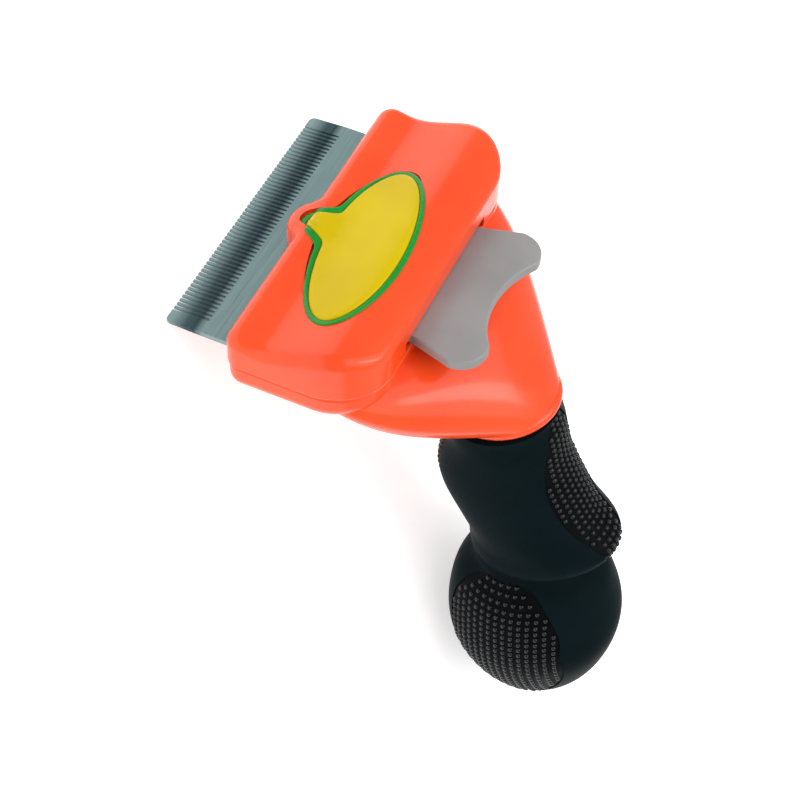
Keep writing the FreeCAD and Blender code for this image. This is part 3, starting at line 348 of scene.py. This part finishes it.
NUB_RADIUS = 0.66 * MM
NUB_HEIGHT = 0.62 * MM
NUB_ROOT = 0.12 * MM        # how far a nub's foot stands in the pad
NUB_MARGIN = 0.8 * MM       # between a nub's middle and the edge of its pad
STEEPEST = 2.6              # most that the pad may fall away over that distance, as a slope
NUB_SIDES = 8
NUB_RINGS = ((1.0, 0.0), (0.92, 0.45), (0.62, 0.84))   # shares of radius and height


def add_nub(mesh, foot, normal, size=1.0):
    """A small rounded stud."""
    side = normal.orthogonal().normalized()
    other = normal.cross(side)
    rings = []
    for wide, high in NUB_RINGS:
        ring = []
        for step in range(NUB_SIDES):
            angle = 2 * math.pi * step / NUB_SIDES
            out = (side * math.cos(angle) + other * math.sin(angle)) * NUB_RADIUS * wide * size
            ring.append(mesh.verts.new(foot + out + normal * (NUB_HEIGHT * high * size - NUB_ROOT)))
        rings.append(ring)
    crown = mesh.verts.new(foot + normal * (NUB_HEIGHT * size - NUB_ROOT))
    for lower, upper in zip(rings, rings[1:]):
        for step in range(NUB_SIDES):
            after = (step + 1) % NUB_SIDES
            mesh.faces.new((lower[step], lower[after], upper[after], upper[step]))
    for step in range(NUB_SIDES):
        mesh.faces.new((rings[-1][step], rings[-1][(step + 1) % NUB_SIDES], crown))


def surface_under(tree, x_way, x, z, towards):
    """Where a ray across the handle meets a pad: (point, normal) or None."""
    start = COLLAR + x_way * x + HANDLE_UP * z - towards * 0.06
    point, normal, _, _ = tree.ray_cast(start, towards)
    if point is None:
        return None
    return (point, normal if normal.dot(towards) < 0 else -normal)


def nubs_on(node, x_way, towards, half, top, low, spacing, materials):
    """Straight rows of nubs down a pad, wherever they fit inside its outline."""
    tree = BVHTree.FromObject(nodes[node], bpy.context.evaluated_depsgraph_get())
    mesh = bmesh.new()
    column_gap, row_gap = spacing
    columns = int(half / column_gap)
    rows = int((top - low) / row_gap)
    for column in range(-columns, columns + 1):
        x = column * column_gap
        for row in range(rows + 1):
            z = top - row * row_gap
            around = [surface_under(tree, x_way, x + dx, z + dz, towards)
                      for dx, dz in ((NUB_MARGIN, 0), (-NUB_MARGIN, 0),
                                     (0, NUB_MARGIN), (0, -NUB_MARGIN))]
            spot = surface_under(tree, x_way, x, z, towards)
            if spot is None or None in around:
                continue
            depths = [(point - spot[0]).dot(towards) for point, _ in around]
            if max(abs(depth) for depth in depths) < NUB_MARGIN * STEEPEST:
                add_nub(mesh, *spot)
    piece = add_piece(node + "_nubs", mesh, "pad_rubber", "tool", materials)
    paint(piece, materials["nub_rubber"])


NUB_SPACING = (1.75 * MM, 1.55 * MM)        # between columns and along them, thumb and finger pads
PALM_NUB_SPACING = (1.85 * MM, 1.55 * MM)
PALM_HALF = 16 * MM
PALM_TOP = -46 * MM
PALM_LOW = -94 * MM
FINGER_HALF = 9 * MM
FINGER_TOP = -4 * MM
THUMB_LOW = -48 * MM
FINGER_LOW = -30 * MM


def add_pad_nubs(materials):
    nubs_on("thumb_pad", ACROSS, TO_FINGERS, FINGER_HALF, FINGER_TOP, THUMB_LOW, NUB_SPACING, materials)
    nubs_on("finger_pad", ACROSS, -TO_FINGERS, FINGER_HALF, FINGER_TOP, FINGER_LOW, NUB_SPACING,
            materials)
    for node, towards in (("side_pad_left", ACROSS), ("side_pad_right", -ACROSS)):
        nubs_on(node, TO_FINGERS, towards, PALM_HALF, PALM_TOP, PALM_LOW, PALM_NUB_SPACING, materials)


# Outline of the badge in the head's frame, in millimetres.
BADGE_MIDDLE = -10.25
BADGE_LEFT = 28.3
BADGE_RIGHT = 19.2
BADGE_DEPTH = 10.0
BADGE_LEAN = 0.075          # rise of the leaf's middle line across the head
BADGE_FULLNESS = 1.95       # exponent of the leaf's curve, 2 for a plain ellipse
NUB_MIDDLE = -1.5
NUB_REACH = 16.2
NUB_WIDE = 4.3
NUB_FLARE = 3.2
NUB_NARROWING = 0.9         # how fast the point gets narrower and shorter as the outline moves in
NUB_LOWERING = 1.45
BADGE_STEPS = 240
BADGE_RIM = 1.2
RIM_PROUD = 0.42
FACE_PROUD = 0.95
FACE_GAP = 0.03             # between the rim and the face
FACE_SHOULDER = 1.2         # how far in the face's crowned edge reaches
SUNK = -0.3                 # how far the foot of both goes into the cover
COVER_REAR = -24.0
COVER_SPAN = 34.0
CLEAR_OF_BADGE = 31.0       # a place on the cover's top beside the badge
NOSE_FROM = 3.5             # ahead of this only the cover's nose under the badge's point is felt
FEELER = 30.0
TOP_SAMPLES = 60


def cover_heights():
    """Height of the cover's top along the head's Y, felt beside the badge."""
    tree = BVHTree.FromObject(nodes["top_cover"], bpy.context.evaluated_depsgraph_get())
    heights = []
    for step in range(TOP_SAMPLES + 1):
        y = COVER_REAR + COVER_SPAN * step / TOP_SAMPLES
        hit = tree.ray_cast(on_head(CLEAR_OF_BADGE if y < NOSE_FROM else 0.0, y, FEELER), -OUTWARD)[0]
        heights.append((y, (hit - HEAD_DATUM).dot(OUTWARD) / MM if hit else heights[-1][1]))
    return heights


def top_at(heights, y):
    """The cover's height at a place, between the nearest felt ones."""
    share = (y - heights[0][0]) / (heights[-1][0] - heights[0][0]) * TOP_SAMPLES
    index = min(max(int(share), 0), TOP_SAMPLES - 1)
    first, second = heights[index][1], heights[index + 1][1]
    return first + (second - first) * (share - index)


def badge_edge(inset):
    """Points round the badge, moved in: a full leaf with one blunt point towards the teeth."""
    middle = (BADGE_RIGHT - BADGE_LEFT) / 2
    half = (BADGE_RIGHT + BADGE_LEFT) / 2 - inset
    power = 2 / BADGE_FULLNESS
    wide = NUB_WIDE - inset * NUB_NARROWING
    points = []
    for step in range(BADGE_STEPS):
        angle = 2 * math.pi * step / BADGE_STEPS
        cosine, sine = math.cos(angle), math.sin(angle)
        x = middle + half * math.copysign(abs(cosine) ** power, cosine)
        y = BADGE_MIDDLE + BADGE_LEAN * (x - middle)
        y += (BADGE_DEPTH - inset) * math.copysign(abs(sine) ** power, sine)
        if sine > 0:
            point = BADGE_MIDDLE + NUB_REACH - inset * NUB_LOWERING
            y += max(point - y, 0.0) * math.exp(-(abs(x - NUB_MIDDLE) / wide) ** NUB_FLARE)
        points.append(Vector((x, y)))
    return points


def lift_ring(mesh, heights, points, lift):
    """Vertices over an outline, a set height above the cover's top."""
    return [mesh.verts.new(on_head(point.x, point.y, top_at(heights, point.y) + lift))
            for point in points]


def join_rings(mesh, rings):
    for lower, upper in zip(rings, rings[1:]):
        for index in range(len(lower)):
            after = (index + 1) % len(lower)
            mesh.faces.new((lower[index], lower[after], upper[after], upper[index]))


def add_badge(materials):
    """The badge's rounded rim and its crowned face, following the cover's top."""
    heights = cover_heights()
    rim = bmesh.new()
    profile = [(0.0, SUNK), (0.0, RIM_PROUD * 0.55), (0.12, RIM_PROUD * 0.9), (0.35, RIM_PROUD),
               (BADGE_RIM - 0.2, RIM_PROUD), (BADGE_RIM, RIM_PROUD * 0.7), (BADGE_RIM + 0.05, SUNK)]
    join_rings(rim, [lift_ring(rim, heights, badge_edge(inset), lift) for inset, lift in profile])
    edge_piece = add_piece("badge_edge", rim, "green_plastic", "tool", materials)
    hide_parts("badge_rim")

    face = bmesh.new()
    profile = [(FACE_GAP, SUNK), (FACE_GAP, RIM_PROUD * 0.8), (0.18, FACE_PROUD * 0.72),
               (0.5, FACE_PROUD * 0.86), (FACE_SHOULDER, FACE_PROUD * 0.94)]
    rings = [lift_ring(face, heights, badge_edge(BADGE_RIM + inset), lift) for inset, lift in profile]
    inner = badge_edge(BADGE_RIM + FACE_SHOULDER)
    heart = Vector((NUB_MIDDLE - 3.0, BADGE_MIDDLE))
    for share in (0.8, 0.6, 0.4, 0.2):
        shrunk = [heart + (point - heart) * share for point in inner]
        rings.append(lift_ring(face, heights, shrunk, FACE_PROUD))
    join_rings(face, rings)
    crown = face.verts.new(on_head(heart.x, heart.y, top_at(heights, heart.y) + FACE_PROUD))
    for index in range(BADGE_STEPS):
        face.faces.new((rings[-1][index], rings[-1][(index + 1) % BADGE_STEPS], crown))
    face_piece = add_piece("badge_face", face, "yellow_plastic", "tool", materials)
    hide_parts("badge_dome")


RECESS_LONG = 1.5 * MM
RECESS_WIDE = 0.32 * MM


def add_recess_shade(node, materials):
    """A dark cross on each screw head of a node, on the underside of the head: painted shade standing
    proud where the cross recess would be.
    """
    low = min(vertex.co.dot(OUTWARD) for vertex in nodes[node].data.vertices)
    foot = [vertex.co for vertex in nodes[node].data.vertices
            if vertex.co.dot(OUTWARD) < low + 0.1 * MM]
    mesh = bmesh.new()
    for side in (-1, 1):
        ring = [point for point in foot if point.x * side > 0]
        middle = sum(ring, Vector()) / len(ring)
        for turn in (0.25, 0.75):
            angle = math.pi * turn
            way = ACROSS * math.cos(angle) + FORWARD * math.sin(angle)
            across = way.cross(OUTWARD)
            corners = []
            for lift, narrow in ((-0.05 * MM, 1.0), (0.3 * MM, 0.6)):
                for long, wide in ((-1, -1), (1, -1), (1, 1), (-1, 1)):
                    corners.append(mesh.verts.new(
                        middle + (way * RECESS_LONG * long + across * RECESS_WIDE * wide) * narrow
                        + OUTWARD * lift))
            for face in ((0, 1, 2, 3), (7, 6, 5, 4),
                         (0, 4, 5, 1), (1, 5, 6, 2), (2, 6, 7, 3), (3, 7, 4, 0)):
                mesh.faces.new([corners[index] for index in face])
    body = [name for name, held in record["behaviour"]["bodies"].items() if node in held][0]
    # the crosses take the dark core plastic, not the screws' steel: painted shade of the cross recess
    piece = add_piece(node + "_recess_shade", mesh, "core_plastic", body, materials)
    piece.data.shade_flat()


# ---------------------------------------------------------------- floor, light and camera

def add_floor():
    """A pale sweep of slightly uneven card under the tool."""
    graph = Graph("floor_card")
    fibre = graph.noise(160.0, 5.0)
    graph.ramp(fibre, [(0.35, (0.86, 0.86, 0.86)), (0.65, (0.9, 0.9, 0.9))], "Base Color")
    graph.spread(fibre, 0.75, 0.9, "Roughness", 0.3, 0.7)
    graph.bump(fibre, 0.05, 0.0002)
    graph.set(Emission_Color=(1.0, 1.0, 1.0, 1.0), Emission_Strength=0.6)
    mesh = bmesh.new()
    bmesh.ops.create_grid(mesh, x_segments=8, y_segments=8, size=3.0)
    data = bpy.data.meshes.new("floor")
    mesh.to_mesh(data)
    mesh.free()
    floor = bpy.data.objects.new("floor", data)
    bpy.context.collection.objects.link(floor)
    paint(floor, graph.material)


CAMERA_PLACE = on_head(-262.5, -123.5, 300.8)
CAMERA_LOOK = head_way(0.5910, 0.2375, -0.7709).normalized()
CAMERA_UP = head_way(0.6922, 0.3414, 0.6358).normalized()


def add_camera():
    data = bpy.data.cameras.new("camera")
    data.sensor_width = 36.0
    data.lens = 90.0
    data.clip_start = 0.01
    data.clip_end = 20.0
    camera = bpy.data.objects.new("camera", data)
    right = CAMERA_LOOK.cross(CAMERA_UP).normalized()
    up = right.cross(CAMERA_LOOK)
    turn = Matrix((right, up, -CAMERA_LOOK)).transposed().to_4x4()
    camera.matrix_world = Matrix.Translation(CAMERA_PLACE) @ turn
    bpy.context.collection.objects.link(camera)
    bpy.context.scene.camera = camera


def add_light(name, place, aim, size, power):
    data = bpy.data.lights.new(name, "AREA")
    data.shape = "RECTANGLE"
    data.size, data.size_y = size
    data.energy = power
    lamp = bpy.data.objects.new(name, data)
    lamp.location = place
    lamp.rotation_mode = "QUATERNION"
    lamp.rotation_quaternion = (aim - place).to_track_quat("-Z", "Y")
    bpy.context.collection.objects.link(lamp)


def add_lights():
    middle = (cad_box[0] + cad_box[1]) / 2
    right = CAMERA_LOOK.cross(CAMERA_UP).normalized()
    above = Vector((0, 0, 1))
    add_light("key", middle + above * 0.7 + right * 0.1 - CAMERA_LOOK * 0.15, middle, (1.1, 1.1), 4.6)
    add_light("strip", middle + right * 0.32 + above * 0.62 - CAMERA_LOOK * 0.05, middle,
              (0.22, 0.6), 1.5)
    add_light("fill", middle - right * 0.6 - CAMERA_LOOK * 0.35 + above * 0.1, middle, (0.6, 0.6), 1.2)
    world = bpy.data.worlds.new("studio")
    bpy.context.scene.world = world
    world.use_nodes = True
    background = world.node_tree.nodes["Background"]
    background.inputs["Color"].default_value = (1.0, 1.0, 1.0, 1.0)
    background.inputs["Strength"].default_value = 0.62


bpy.context.scene.view_settings.view_transform = "Standard"
finishes = make_materials()
paint_nodes(finishes)
add_pad_nubs(finishes)
add_badge(finishes)
add_recess_shade("housing_screws", finishes)
add_floor()
add_camera()
add_lights()
